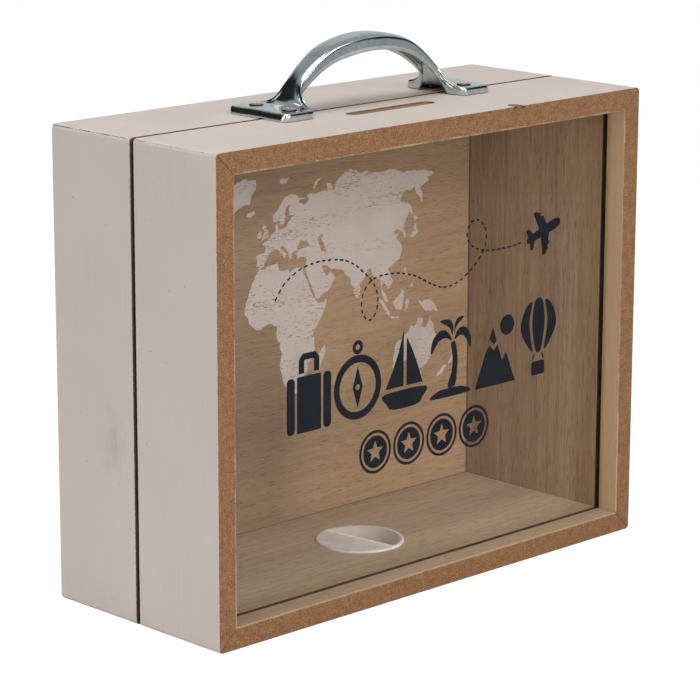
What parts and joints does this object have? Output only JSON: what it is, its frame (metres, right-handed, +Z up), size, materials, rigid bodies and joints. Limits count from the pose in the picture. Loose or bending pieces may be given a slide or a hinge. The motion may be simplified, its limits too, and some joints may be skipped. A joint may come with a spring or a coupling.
{
  "type": "wooden money box",
  "caption": "Suitcase-shaped wooden savings box with a glazed front, a coin slot in its top board, a bow handle and a pull-out stopper underneath.",
  "frame": {"origin": "centre of the underside of the box, on the surface that it stands on", "axes": "+X left to right across the glazed front, +Y from the front to the back, +Z up towards the handle"},
  "size_m": [0.2, 0.08, 0.1866],
  "materials": {
    "painted_board": "fibreboard, off-white paint outside, bare edges, wood veneer inside",
    "pane": "clear, printed in dark ink",
    "panel": "thin veneered panel with a worn pale print",
    "plated_steel": "bright zinc plate",
    "screw_steel": "bright, slightly brassy",
    "stopper_plastic": "soft translucent plastic",
    "brad_steel": "plain steel wire"
  },
  "bodies": {
    "box": {"top_board": "painted_board", "bottom_board": "painted_board", "left_board": "painted_board", "right_board": "painted_board", "glass_pane": "pane", "back_panel": "panel", "handle": "plated_steel", "screw_left_front": "screw_steel", "screw_left_rear": "screw_steel", "screw_right_front": "screw_steel", "screw_right_rear": "screw_steel", "back_panel_brads": "brad_steel", "corner_brads": "brad_steel"},
    "stopper": {"stopper": "stopper_plastic"}
  },
  "joints": [
    {"name": "stopper_pull", "type": "slide", "parent": "box", "child": "stopper", "axis": [0, 0, -1], "range_m": [0, 0.03]}
  ]
}
